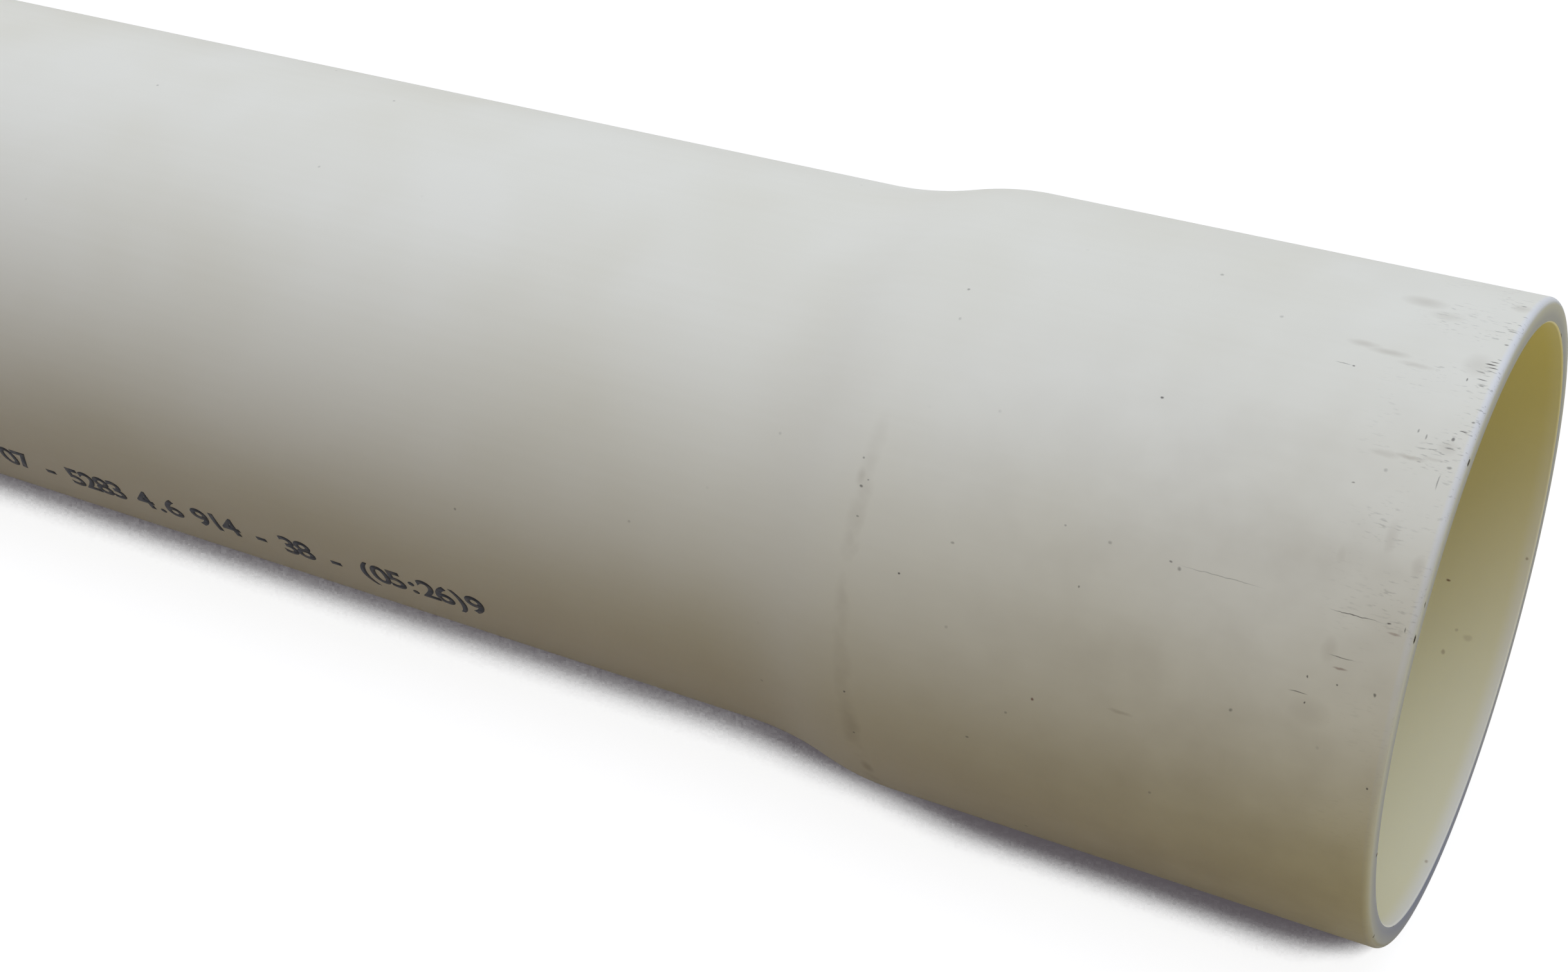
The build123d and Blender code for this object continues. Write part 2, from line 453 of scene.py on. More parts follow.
class Studio(bpy.types.PropertyGroup):
    """The camera, the lights and the floor."""

    camera_place: bpy.props.FloatVectorProperty(
        name="Camera place", description="Where the camera stands",
        default=(0.60707, -0.36317, 0.29039), size=3, subtype="TRANSLATION")
    camera_turn: bpy.props.FloatProperty(
        name="Camera turn", description="Left of straight ahead along Y",
        default=math.radians(28.796), subtype="ANGLE")
    camera_tilt: bpy.props.FloatProperty(
        name="Camera tilt", description="Down from level",
        default=math.radians(30.203), subtype="ANGLE")
    lens: bpy.props.FloatProperty(
        name="Lens", description="Focal length, in millimetres",
        default=53.75)
    sensor_width: bpy.props.FloatProperty(
        name="Sensor width", description="Width of the camera's sensor, in millimetres",
        default=36.0)
    clip_start: bpy.props.FloatProperty(
        name="Clip start", description="Nearest distance that the camera sees",
        default=0.01, unit="LENGTH")
    key_power: bpy.props.FloatProperty(
        name="Key power", description="Watts of the softbox overhead",
        default=10.0, unit="POWER")
    key_colour: bpy.props.FloatVectorProperty(
        name="Key colour", description="Cool daylight of the softbox",
        default=(0.74, 0.81, 1.0), size=3, subtype="COLOR")
    key_size: bpy.props.FloatVectorProperty(
        name="Key size", description="Length along the pipe and width across it",
        default=(1.6, 0.8), size=2, unit="LENGTH")
    key_height: bpy.props.FloatProperty(
        name="Key height", description="Distance of the softbox from the pipe",
        default=1.2, unit="LENGTH")
    key_behind_mouth: bpy.props.FloatProperty(
        name="Key behind mouth", description="How far behind the mouth the softbox has its middle",
        default=0.30, unit="LENGTH")
    key_lean: bpy.props.FloatProperty(
        name="Key lean", description="How far the softbox hangs to the front of straight up",
        default=math.radians(19), subtype="ANGLE")
    fill_power: bpy.props.FloatProperty(
        name="Fill power", description="Watts of the lamp that looks into the mouth",
        default=1.3, unit="POWER")
    fill_colour: bpy.props.FloatVectorProperty(
        name="Fill colour", description="Cool white of the lamp that looks into the mouth",
        default=(0.66, 0.85, 1.0), size=3, subtype="COLOR")
    fill_size: bpy.props.FloatProperty(
        name="Fill size", description="Side of the square lamp that looks into the mouth",
        default=0.5, unit="LENGTH")
    fill_distance: bpy.props.FloatProperty(
        name="Fill distance", description="Distance of that lamp from the mouth",
        default=1.0, unit="LENGTH")
    fill_turn: bpy.props.FloatProperty(
        name="Fill turn", description="How far that lamp stands behind the pipe's axis",
        default=math.radians(22), subtype="ANGLE")
    fill_rise: bpy.props.FloatProperty(
        name="Fill rise", description="How far that lamp stands above level",
        default=math.radians(50), subtype="ANGLE")
    sky_strength: bpy.props.FloatProperty(
        name="Sky strength",
        description="Brightness of the soft light overhead, which fades to the horizon",
        default=0.66)
    sky_colour: bpy.props.FloatVectorProperty(
        name="Sky colour", description="Tint of the soft light overhead",
        default=(1.0, 1.0, 1.0), size=3, subtype="COLOR")
    floor_size: bpy.props.FloatProperty(
        name="Floor size", description="Side of the square floor",
        default=40.0, unit="LENGTH")
    paper: bpy.props.FloatVectorProperty(
        name="Paper", description="Floor under the lamps as gloss shows it",
        default=(1.5, 1.5, 1.5), size=3, soft_max=3.0)
    lit_paper: bpy.props.FloatVectorProperty(
        name="Lit paper",
        description="Floor under the lamps as the camera sees it, white away from the pipe",
        default=(2.3, 2.27, 2.32), size=3, soft_max=3.0)
    shadow_share: bpy.props.FloatProperty(
        name="Shadow share",
        description="How much of the lamps' own soft shadow the camera sees on the floor",
        default=0.08, subtype="FACTOR")
    floor_bounce: bpy.props.FloatVectorProperty(
        name="Floor bounce", description="Warm dark floor that the pipe's underside is lit by",
        default=(0.19, 0.125, 0.042), size=3, subtype="COLOR")
    contact_reach: bpy.props.FloatProperty(
        name="Contact reach", description="How far from the pipe its contact darkens the paper",
        default=25.0 * MM, unit="LENGTH")
    contact_open: bpy.props.FloatVectorProperty(
        name="Contact open",
        description="Shares of open sky above the floor where its shade is full and where it ends",
        default=(0.18, 0.255), size=2)
    contact_samples: bpy.props.IntProperty(
        name="Contact samples", description="Rays that find how open the floor is", default=32)
    # Painted shadow: the tone that the camera sees on the paper right under the pipe
    painted_shadow_grey: bpy.props.FloatVectorProperty(
        name="Contact grey", description="Darkest tone of the floor, right under the pipe",
        default=(0.09, 0.08, 0.09), size=3, subtype="COLOR")
    mouth_bounce: bpy.props.FloatVectorProperty(
        name="Mouth bounce",
        description="Pale warm floor before the mouth, which lights the top of the bore",
        default=(0.80, 0.61, 0.05), size=3, subtype="COLOR")
    mouth_reach: bpy.props.FloatProperty(
        name="Mouth reach", description="Distance before the mouth at which the floor has turned pale",
        default=0.08, unit="LENGTH")


def add_node(tree, kind, inputs=None, **settings):
    """Adds a node with its settings. Inputs are constants, or sockets to link, by name or number."""
    made = tree.nodes.new("ShaderNode" + kind)
    for name, value in settings.items():
        setattr(made, name, value)
    for name, value in (inputs or {}).items():
        if isinstance(value, bpy.types.NodeSocket):
            tree.links.new(value, made.inputs[name])
        else:
            made.inputs[name].default_value = value
    return made


def new_material(name):
    """An empty node material with its output, and the tree to fill."""
    material = bpy.data.materials.new(name)
    material.use_nodes = True
    tree = material.node_tree
    tree.nodes.clear()
    return material, tree, add_node(tree, "OutputMaterial")


def places_on_pipe(tree, radius):
    """Sockets for where a point lies: object coordinates, and millimetres behind, around, out and up."""
    here = add_node(tree, "TexCoord").outputs["Object"]
    mouth = (MOUTH_X, 0, AXIS_HEIGHT)
    centred = add_node(tree, "VectorMath", {0: here, 1: mouth}, operation="SUBTRACT")
    scaled = add_node(tree, "VectorMath", {0: centred.outputs[0], 1: (-1 / MM, -1 / MM, 1 / MM)},
                      operation="MULTIPLY")
    parts = add_node(tree, "SeparateXYZ", {0: scaled.outputs[0]})
    turn = add_node(tree, "Math", {0: parts.outputs["Z"], 1: parts.outputs["Y"]}, operation="ARCTAN2")
    around = add_node(tree, "Math", {0: turn.outputs[0], 1: radius / MM}, operation="MULTIPLY")
    flat = add_node(tree, "VectorMath", {0: scaled.outputs[0], 1: (0, 1, 1)}, operation="MULTIPLY")
    out = add_node(tree, "VectorMath", {0: flat.outputs[0]}, operation="LENGTH")
    return {"here": here, "behind": parts.outputs["X"], "around": around.outputs[0],
            "out": out.outputs["Value"], "up": parts.outputs["Z"]}


def strayed(tree, here, flat_place, wobble):
    """A flat place in millimetres, moved about a little so that marks get ragged edges."""
    wave = WAVE_PER_WOBBLE * wobble
    ragged = add_node(tree, "TexNoise", {"Vector": here, "Scale": 1 / wave, "Detail": 2.0})
    shift = (wobble / MM, wobble / MM, 0)
    return add_node(tree, "VectorMath", {0: ragged.outputs["Color"], 1: shift, 2: flat_place},
                    operation="MULTIPLY_ADD").outputs[0]


def marked(tree, place, marks, radius, core):
    """How dark listed marks are at a place: the darkest of them, each full inside its core."""
    darkest = 0.0
    for first, turn, half_length, half_width, dark in marks:
        around = math.radians(turn) * radius / MM
        offset = add_node(tree, "VectorMath", {
            0: place,
            1: (1 / half_length, 1 / half_width, 0),
            2: (-first / half_length, -around / half_width, 0),
        }, operation="MULTIPLY_ADD")
        far = add_node(tree, "VectorMath", {0: offset.outputs[0]}, operation="LENGTH")
        mark = add_node(tree, "MapRange", {
            "Value": far.outputs["Value"], "From Min": 1.0, "From Max": core, "To Max": dark,
        }, interpolation_type="SMOOTHSTEP")
        darkest = add_node(tree, "Math", {0: darkest, 1: mark.outputs[0]}, operation="MAXIMUM").outputs[0]
    return darkest


def finish_pvc(tree, output, colour, coats, roughness, gloss):
    """Ends a plastic's tree: coats over its own colour, each by its share, and how it takes light."""
    for share, over in coats:
        colour = add_node(tree, "Mix", {0: share, 6: colour, 7: over}, data_type="RGBA").outputs[2]
    shader = add_node(tree, "BsdfPrincipled", {
        "Base Color": colour, "Roughness": roughness, "IOR": PVC_IOR, "Specular IOR Level": gloss})
    tree.links.new(shader.outputs[0], output.inputs["Surface"])


def clouded(tree, here, colours, wear):
    """The skin's own colour, with faint clouds and fainter lines drawn along the pipe."""
    cloud = add_node(tree, "TexNoise", {"Vector": here, "Scale": 1 / wear.cloud_size, "Detail": 2.0})
    along, across = 1 / wear.die_line_length, 1 / wear.die_line_width
    drawn = add_node(tree, "Mapping", {"Vector": here, "Scale": (along, across, across)})
    line = add_node(tree, "TexNoise", {"Vector": drawn.outputs[0], "Scale": 1.0, "Detail": 1.0})
    both = add_node(tree, "Math", {
        0: line.outputs[0], 1: DRAWN_SHARE, 2: cloud.outputs[0]}, operation="MULTIPLY_ADD")
    tone = add_node(tree, "MapRange", {"Value": both.outputs[0], "From Min": 0.42, "From Max": 0.78})
    return add_node(tree, "Mix", {0: tone.outputs[0], 6: colours.outside, 7: colours.cloud},
                    data_type="RGBA").outputs[2]


def stray_specks(tree, place, wear, bare_share):
    """How dark small specks are at a place: one in each cell of a random net that isn't left bare."""
    cells = add_node(tree, "TexVoronoi", {"Vector": place, "Scale": MM / wear.speck_spacing},
                     voronoi_dimensions="2D")
    dot = add_node(tree, "MapRange", {
        "Value": cells.outputs["Distance"], "From Min": STRAY_SPECK_EDGE, "From Max": STRAY_SPECK_CORE})
    draw = add_node(tree, "SeparateColor", {0: cells.outputs["Color"]})
    chosen = add_node(tree, "MapRange", {
        "Value": draw.outputs[0], "From Min": bare_share, "From Max": 1.0, "To Max": STRAY_SPECKS_FULL})
    shown = add_node(tree, "Math", {0: dot.outputs[0], 1: chosen.outputs[0]}, operation="MULTIPLY")
    return shown.outputs[0]


def near_mouth(tree, behind, reach):
    """Fades from 1 close to the mouth to 0 at a reach behind it."""
    return add_node(tree, "MapRange", {
        "Value": behind, "From Min": reach / MM, "From Max": FULL_REACH_SHARE * reach / MM,
    }, interpolation_type="SMOOTHSTEP").outputs[0]


def dust_and_painted_shade(tree, places, ragged, sizes, wear):
    """How much dust and painted shade lies at a place: smears, a haze towards the mouth that is partly
    painted shade on the socket's front, and a broken ring on the shoulder.
    """
    here = places["here"]
    hazy = add_node(tree, "TexNoise", {"Vector": here, "Scale": 1 / wear.haze_size, "Detail": 3.0})
    patchy = add_node(tree, "MapRange", {
        "Value": hazy.outputs[0], "From Min": 0.35, "From Max": 0.75,
        "To Min": HAZE_THIN, "To Max": HAZE_FULL})
    haze_and_shade = add_node(tree, "Math", {
        0: patchy.outputs[0], 1: near_mouth(tree, places["behind"], wear.haze_and_shade_reach)}, operation="MULTIPLY")
    # Painted shade: the haze stays full on the front and underside and thins towards the top
    starts, ends = (share * sizes.socket_radius / MM for share in HAZE_AND_SHADE_FADES)
    dust_and_shade_fade = add_node(tree, "MapRange", {
        "Value": places["up"], "From Min": ends, "From Max": starts, "To Min": HAZE_AND_SHADE_KEPT})
    haze_and_shade = add_node(tree, "Math", {0: haze_and_shade.outputs[0], 1: dust_and_shade_fade.outputs[0]}, operation="MULTIPLY")

    loose = strayed(tree, here, ragged, wear.ring_wobble)
    along = add_node(tree, "SeparateXYZ", {0: loose}).outputs["X"]
    aside = add_node(tree, "Math", {0: along, 1: wear.ring_behind_mouth / MM}, operation="SUBTRACT")
    aside = add_node(tree, "Math", {0: aside.outputs[0]}, operation="ABSOLUTE")
    band = add_node(tree, "MapRange", {
        "Value": aside.outputs[0], "From Min": wear.ring_half_width / MM, "From Max": 0.0,
        "To Max": RING_FULL,
    }, interpolation_type="SMOOTHSTEP")
    breaks = add_node(tree, "TexNoise", {"Vector": here, "Scale": 1 / wear.ring_break, "Detail": 3.0})
    held = add_node(tree, "MapRange", {"Value": breaks.outputs[0], "From Min": 0.35, "From Max": 0.65})
    ring = add_node(tree, "Math", {0: band.outputs[0], 1: held.outputs[0]}, operation="MULTIPLY")
    starts, ends = (share * sizes.barrel_radius / MM for share in RING_FADES)
    rinsed = add_node(tree, "MapRange", {"Value": places["up"], "From Min": ends, "From Max": starts})
    ring = add_node(tree, "Math", {0: ring.outputs[0], 1: rinsed.outputs[0]}, operation="MULTIPLY")

    dust_and_shade = marked(tree, ragged, SMEARS, sizes.socket_radius, SMEAR_CORE)
    for layer in (haze_and_shade, ring):
        dust_and_shade = add_node(tree, "Math", {0: dust_and_shade, 1: layer.outputs[0]}, operation="MAXIMUM").outputs[0]
    return dust_and_shade


def dark_dirt(tree, places, ragged, sizes, wear):
    """How much dark dirt is rubbed in at a place: nicks, short strokes by the mouth and stray specks."""
    here = places["here"]
    along, across = 1 / wear.rub_length, 1 / wear.rub_width
    combed = add_node(tree, "Mapping", {"Vector": here, "Scale": (along, across, across)})
    stroke = add_node(tree, "TexNoise", {"Vector": combed.outputs[0], "Scale": 1.0, "Detail": 2.0})
    stroke = add_node(tree, "MapRange", {
        "Value": stroke.outputs[0], "From Min": 0.58, "From Max": 0.74, "To Max": RUBS_FULL})
    patch = add_node(tree, "TexNoise", {"Vector": here, "Scale": 1 / wear.rub_patch, "Detail": 1.0})
    patch = add_node(tree, "MapRange", {"Value": patch.outputs[0], "From Min": 0.42, "From Max": 0.62})
    starts, ends = (share * sizes.socket_radius / MM for share in RUBS_FADE)
    handled = add_node(tree, "MapRange", {
        "Value": places["up"], "From Min": ends, "From Max": starts, "To Min": RUBS_KEPT})
    dirt = marked(tree, ragged, NICKS, sizes.socket_radius, SCRATCH_CORE)
    rubs = near_mouth(tree, places["behind"], wear.rub_reach)
    for share in (stroke, patch, handled):
        rubs = add_node(tree, "Math", {0: rubs, 1: share.outputs[0]}, operation="MULTIPLY").outputs[0]
    for layer in (rubs, stray_specks(tree, ragged, wear, SOCKET_BARE)):
        dirt = add_node(tree, "Math", {0: dirt, 1: layer}, operation="MAXIMUM").outputs[0]
    return dirt


def extruded_pvc(colours, sizes, wear):
    """PVC-U drawn through a cool sleeve: pale satin cream, faintly clouded, with a stray speck or two."""
    material, tree, output = new_material("extruded PVC-U")
    places = places_on_pipe(tree, sizes.socket_radius)
    flat = add_node(tree, "CombineXYZ", {"X": places["behind"], "Y": places["around"]}).outputs[0]
    skin = clouded(tree, places["here"], colours, wear)
    coats = [(stray_specks(tree, flat, wear, BARREL_BARE), colours.grime)]
    finish_pvc(tree, output, skin, coats, SKIN_ROUGHNESS, SKIN_GLOSS)
    return material


def handled_pvc(colours, sizes, wear):
    """The same skin on the belled end, set down and handled: dusty, with painted shade in the haze on its
    front, nicked, and white at its edge, partly scraped and partly a painted highlight.
    """
    material, tree, output = new_material("handled PVC-U")
    places = places_on_pipe(tree, sizes.socket_radius)
    flat = add_node(tree, "CombineXYZ", {"X": places["behind"], "Y": places["around"]}).outputs[0]
    ragged = strayed(tree, places["here"], flat, wear.wobble)
    # Partly scraped plastic, partly a painted highlight on the outer edge's round
    edge = wear.eased_edge / MM
    scraped_and_highlight = add_node(tree, "MapRange", {
        "Value": places["behind"], "From Min": edge, "From Max": EASED_CORE * edge})
    dust_and_shade = dust_and_painted_shade(tree, places, ragged, sizes, wear)
    skin = clouded(tree, places["here"], colours, wear)
    coats = [
        (scraped_and_highlight.outputs[0], colours.scraped_and_highlight),
        (dust_and_shade, colours.dust_and_shade),
        (marked(tree, ragged, RUST_MARKS, sizes.socket_radius, SCRATCH_CORE), colours.rust),
        (dark_dirt(tree, places, ragged, sizes, wear), colours.grime),
    ]
    rough = add_node(tree, "MapRange", {"Value": dust_and_shade, "To Min": SKIN_ROUGHNESS, "To Max": DUSTY_ROUGHNESS})
    finish_pvc(tree, output, skin, coats, rough.outputs[0], SKIN_GLOSS)
    return material


def bore_pvc(colours, sizes, wear):
    """The inside of the wall: the same plastic, painted yellower as shade for the light it lacks, painted
    paler with light at the mouth's edge, and with a few stains.
    """
    material, tree, output = new_material("PVC-U bore")
    places = places_on_pipe(tree, sizes.socket_bore_radius)
    here = places["here"]
    flat = add_node(tree, "CombineXYZ", {"X": places["behind"], "Y": places["around"]}).outputs[0]
    ragged = strayed(tree, here, flat, wear.wobble)
    cloud = add_node(tree, "TexNoise", {"Vector": here, "Scale": 1 / wear.cloud_size, "Detail": 2.0})
    tone = add_node(tree, "MapRange", {
        "Value": cloud.outputs[0], "From Min": 0.3, "From Max": 0.8, "To Max": BORE_CLOUD_FULL})
    # Painted light: paler towards the mouth's edge, where daylight reaches in
    pale = add_node(tree, "MapRange", {
        "Value": places["behind"], "From Min": wear.lip_painted_light_reach / MM, "From Max": 0.0,
    }, interpolation_type="SMOOTHSTEP")
    coats = [
        (tone.outputs[0], colours.dust_and_shade),
        (pale.outputs[0], colours.lip_painted_light),
        (marked(tree, ragged, BORE_STAINS, sizes.socket_bore_radius, SCRATCH_CORE), colours.rust),
    ]
    finish_pvc(tree, output, colours.bore, coats, BORE_ROUGHNESS, BORE_GLOSS)
    return material


def eased_pvc(colours, sizes, wear):
    """PVC-U sawn and eased by hand: matt, greyer than the skin by painted shade, whiter outward where it is
    scraped and a highlight is painted, with dirt on its edges.
    """
    material, tree, output = new_material("sawn PVC-U")
    places = places_on_pipe(tree, sizes.socket_radius)
    flat = add_node(tree, "CombineXYZ", {"X": places["out"], "Y": places["around"]}).outputs[0]
    ragged = strayed(tree, places["here"], flat, wear.wobble)
    # Painted shade and highlight: the face keeps the greyer colour and whitens outward onto the round
    outer = sizes.socket_radius / MM
    scraped_and_highlight = add_node(tree, "MapRange", {
        "Value": places["out"], "From Min": outer - wear.eased_face / MM, "From Max": outer})
    coats = [
        (scraped_and_highlight.outputs[0], colours.scraped_and_highlight),
        (marked(tree, ragged, RIM_SPECKS, sizes.socket_radius, RIM_SPECK_CORE), colours.grime),
    ]
    finish_pvc(tree, output, colours.rim, coats, SAWN_ROUGHNESS, SAWN_GLOSS)
    return material


def jet_ink(colours, line):
    """Dried ink-jet ink: a thin matt charcoal film, greyer where the drops were sparse."""
    material, tree, output = new_material("ink-jet ink")
    here = add_node(tree, "TexCoord").outputs["Object"]
    sparse = add_node(tree, "TexNoise", {"Vector": here, "Scale": 1 / line.sparse_size, "Detail": 2.0})
    thin = add_node(tree, "MapRange", {
        "Value": sparse.outputs[0], "From Min": 0.5, "From Max": 0.85, "To Max": SPARSE_INK_FULL})
    colour = add_node(tree, "Mix", {0: thin.outputs[0], 6: colours.ink, 7: colours.dust_and_shade}, data_type="RGBA")
    shader = add_node(tree, "BsdfPrincipled", {
        "Base Color": colour.outputs[2], "Roughness": INK_ROUGHNESS, "Specular IOR Level": INK_GLOSS})
    tree.links.new(shader.outputs[0], output.inputs["Surface"])
    return material


def shoulder_points(start, end, heel_share, steps):
    """The shoulder's two arcs, hollow and then round, which meet at the heel's share of its length."""
    length = end[0] - start[0]
    steepest = 2 * math.atan((end[1] - start[1]) / length)
    whole = length / math.sin(steepest)
    hollow = whole * heel_share
    crown = whole - hollow
    turns = [steepest * i / steps for i in range(steps + 1)]
    rising = [(start[0] + hollow * math.sin(a), start[1] + hollow * (1 - math.cos(a))) for a in turns]
    turns.pop()
    turns.reverse()
    levelling = [(end[0] - crown * math.sin(a), end[1] - crown * (1 - math.cos(a))) for a in turns]
    return rising + levelling


def even_steps(start, end, count):
    """The points after start on a straight run to end, in equal steps."""
    return [tuple(a + (b - a) * i / count for a, b in zip(start, end)) for i in range(1, count + 1)]


def quarter_round(centre, radius, first_turn, steps):
    """A quarter circle in the outline, from one turn to a quarter less, without its first point."""
    turns = [first_turn - math.pi / 2 * i / steps for i in range(1, steps + 1)]
    return [(centre[0] + radius * math.cos(a), centre[1] + radius * math.sin(a)) for a in turns]


def wall_outline(sizes):
    """The wall's section as X and radius: outside to the mouth, round the rim and back inside."""
    heel_x = SPIGOT_X + sizes.waterway_length
    root_x = MOUTH_X - sizes.socket_depth
    chamfer_end = (SPIGOT_X + sizes.chamfer_length, sizes.barrel_radius)
    outer_heel = (heel_x, sizes.barrel_radius)
    outer_root = (root_x, sizes.socket_radius)
    inner_heel = (heel_x, sizes.waterway_radius)
    inner_root = (root_x, sizes.socket_bore_radius)
    outer_round = (MOUTH_X - sizes.rim_outer_round, sizes.socket_radius - sizes.rim_outer_round)
    inner_round = (MOUTH_X - sizes.rim_inner_round, sizes.socket_bore_radius + sizes.rim_inner_round)
    rim_start = (outer_round[0], sizes.socket_radius)
    bore_start = (inner_round[0], sizes.socket_bore_radius)

    outline = [(SPIGOT_X, sizes.barrel_radius - sizes.chamfer_depth), chamfer_end]
    outline += even_steps(chamfer_end, outer_heel, sizes.barrel_steps)
    outline += shoulder_points(outer_heel, outer_root, sizes.outer_heel_share, sizes.shoulder_steps)[1:]
    outline += even_steps(outer_root, rim_start, sizes.socket_steps)
    outline += quarter_round(outer_round, sizes.rim_outer_round, math.pi / 2, sizes.outer_round_steps)
    outline += [(MOUTH_X, inner_round[1])]
    outline += quarter_round(inner_round, sizes.rim_inner_round, 0, sizes.inner_round_steps)
    outline += even_steps(bore_start, inner_root, sizes.socket_steps)
    inner_shoulder = shoulder_points(inner_heel, inner_root, sizes.inner_heel_share, sizes.shoulder_steps)
    outline += inner_shoulder[-2::-1]
    outline += even_steps(inner_heel, (SPIGOT_X, sizes.waterway_radius), sizes.barrel_steps)
    return outline


def pull_ring(outline, sizes):
    """Adds a ring at the outline's first point, pulls it along the outline and closes it on itself."""
    x, radius = outline[0]
    bpy.ops.object.select_all(action="DESELECT")
    bpy.ops.mesh.primitive_circle_add(
        vertices=sizes.sides, radius=radius, location=(x, 0, AXIS_HEIGHT), rotation=(0, math.pi / 2, 0))
    ring = bpy.context.object
    bpy.ops.object.transform_apply(location=True, rotation=True, scale=True)
    bpy.ops.object.mode_set(mode="EDIT")
    bpy.ops.mesh.select_all(action="SELECT")
    for next_x, next_radius in outline[1:]:
        bpy.ops.mesh.extrude_edges_move(TRANSFORM_OT_translate={"value": (next_x - x, 0, 0)})
        widen = next_radius / radius
        bpy.ops.transform.resize(value=(1, widen, widen), center_override=(next_x, 0, AXIS_HEIGHT))
        x, radius = next_x, next_radius
    bpy.ops.mesh.select_all(action="DESELECT")
    bpy.ops.mesh.select_mode(type="EDGE")
    bpy.ops.mesh.select_non_manifold(extend=False)
    bpy.ops.mesh.bridge_edge_loops()
    bpy.ops.mesh.select_all(action="SELECT")
    bpy.ops.mesh.normals_make_consistent(inside=False)
    bpy.ops.object.mode_set(mode="OBJECT")
    bpy.ops.object.shade_smooth_by_angle(angle=sizes.sharp_angle)
    return ring


def strip_of(face, heel_x):
    """The name of the strip of wall that a face belongs to, by where it lies and which way it looks."""
    outward = Vector((0, face.center.y, face.center.z - AXIS_HEIGHT)).normalized().dot(face.normal)
    at_socket = face.center.x > heel_x
    if outward > SKIN_OUTWARD:
        return "socket" if at_socket else "barrel"
    if outward > END_OUTWARD:
        return "rim" if at_socket else "spigot_face"
    return "socket_bore" if at_socket else "waterway"


def turn_of(place):
    """How far above the pipe's front a place lies, as an angle about the axis."""
    return math.atan2(place.z - AXIS_HEIGHT, -place.y)


def dress_wall(pipe, sizes):
    """Gives each strip of the wall its plastic, and unrolls it onto its rows of the map for baking."""
    heel_x = SPIGOT_X + sizes.waterway_length
    ends = {
        "barrel": (SPIGOT_X, heel_x),
        "socket": (heel_x, MOUTH_X),
        "rim": (sizes.socket_radius, sizes.socket_bore_radius),
        "socket_bore": (MOUTH_X, heel_x),
        "waterway": (heel_x, SPIGOT_X),
        "spigot_face": (sizes.waterway_radius, sizes.barrel_radius),
    }
    wall = pipe.data
    unrolled = wall.uv_layers.new(name="OFBake").data
    for face in wall.polygons:
        strip = strip_of(face, heel_x)
        face.material_index, first_row, last_row = STRIPS[strip]
        start, end = ends[strip]
        middle = turn_of(face.center)
        for corner in face.loop_indices:
            place = wall.vertices[wall.loops[corner].vertex_index].co
            turn = middle + math.remainder(turn_of(place) - middle, math.tau)
            out = math.hypot(place.y, place.z - AXIS_HEIGHT)
            along = out if strip in ("rim", "spigot_face") else place.x
            row = first_row + (last_row - first_row) * (along - start) / (end - start)
            unrolled[corner].uv = (FRONT_COLUMN - turn / math.tau, row)


class PIPE_OT_turn(bpy.types.Operator):
    """Models the whole pipe as one closed wall and gives its skin, rim and bore their plastics"""

    bl_idname = "pipe.turn"
    bl_label = "Turn the pipe"

    def execute(self, context):
        sizes = context.scene.pipe_sizes
        colours = context.scene.pipe_colours
        wear = context.scene.pipe_wear
        pipe = pull_ring(wall_outline(sizes), sizes)
        pipe.name = "pressure_pipe"
        pipe.data.name = "pressure_pipe"
        for plastic in (extruded_pvc, handled_pvc, eased_pvc, bore_pvc):
            pipe.data.materials.append(plastic(colours, sizes, wear))
        dress_wall(pipe, sizes)
        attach(pipe, "root")
        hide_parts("pipe")
        return {"FINISHED"}


def type_figures(line):
    """Types each figure in its own step of the line and joins them into one flat mesh."""
    glyphs = []
    for place, figure in enumerate(line.figures):
        if figure == " ":
            continue
        bpy.ops.object.select_all(action="DESELECT")
        bpy.ops.object.text_add(location=(place * line.step, 0, 0))
        glyph = bpy.context.object
        glyph.data.body = figure
        glyph.data.align_x = "CENTER"
        glyph.data.align_y = "CENTER"
        glyph.data.size = line.height / FIGURE_SHARE
        glyph.data.offset = line.spread
        bpy.ops.object.convert(target="MESH")
        glyphs.append(glyph)
    bpy.ops.object.select_all(action="DESELECT")
    for glyph in glyphs:
        glyph.select_set(True)
    bpy.context.view_layer.objects.active = glyphs[0]
    bpy.ops.object.join()
    bpy.ops.object.transform_apply(location=True, rotation=True, scale=True)
    return bpy.context.object


def lay_film(ink, line, barrel_radius):
    """Cuts the flat figures so that they can bend, wraps them onto the barrel and makes them a film."""
    bpy.ops.object.mode_set(mode="EDIT")
    for cut in range(-line.bend_cuts, line.bend_cuts + 1):
        bpy.ops.mesh.select_all(action="SELECT")
        bpy.ops.mesh.bisect(plane_co=(0, cut * line.bend_step, 0), plane_no=(0, 1, 0))
    bpy.ops.object.mode_set(mode="OBJECT")
    out = Vector((0, -math.cos(line.angle), math.sin(line.angle)))
    start = Vector((MOUTH_X - line.start_behind_mouth, 0, AXIS_HEIGHT))
    ink.location = start + out * (barrel_radius + line.hover)
    ink.rotation_euler = (math.pi / 2 - line.angle, 0, 0)
    wrap = ink.modifiers.new("wrap", "SHRINKWRAP")
    wrap.target = bpy.data.objects["pressure_pipe"]
    wrap.wrap_method = "NEAREST_SURFACEPOINT"
    wrap.wrap_mode = "ABOVE_SURFACE"
    wrap.offset = line.seat
    bpy.ops.object.modifier_apply(modifier=wrap.name)
    thick = ink.modifiers.new("film", "SOLIDIFY")
    thick.thickness = line.film
    thick.offset = 1
    bpy.ops.object.modifier_apply(modifier=thick.name)
    bpy.ops.object.transform_apply(location=True, rotation=True, scale=True)


